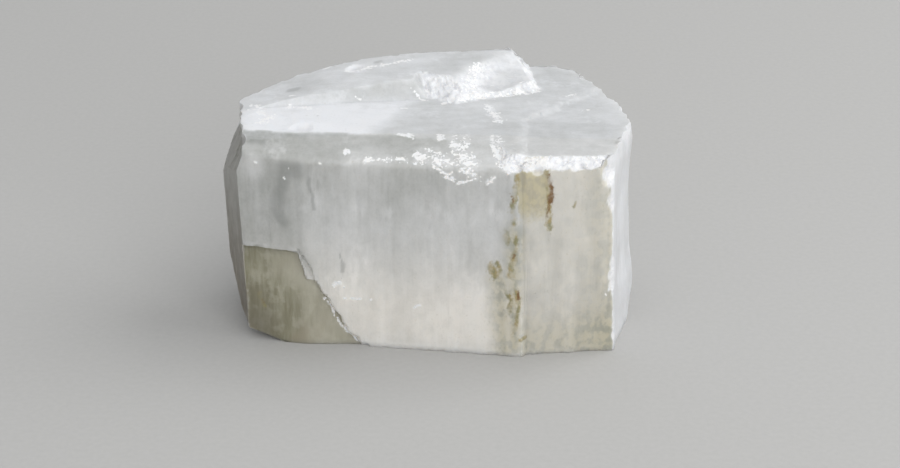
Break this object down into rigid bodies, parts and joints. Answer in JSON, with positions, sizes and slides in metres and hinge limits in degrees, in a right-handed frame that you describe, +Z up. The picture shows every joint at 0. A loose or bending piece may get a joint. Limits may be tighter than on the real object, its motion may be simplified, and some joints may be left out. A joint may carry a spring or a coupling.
{
  "type": "beryllonite crystal",
  "caption": "Broken block of a clear to milky prismatic beryllonite crystal: ribbed faces, stepped hackly top, flat underside to rest on.",
  "frame": {"origin": "middle of the base, on the surface the crystal rests on", "axes": "+X along the broad front face, towards the right front face; +Y to the back; +Z up, along the prism's edges"},
  "size_m": [0.0364, 0.0218, 0.0206],
  "materials": {
    "beryllonite": "clear to milky crystal: vitreous cleavage faces with fine upright growth lines, white hackly breaks, olive and rust iron stain"
  },
  "bodies": {
    "root": {"crystal": "beryllonite"}
  },
  "joints": []
}
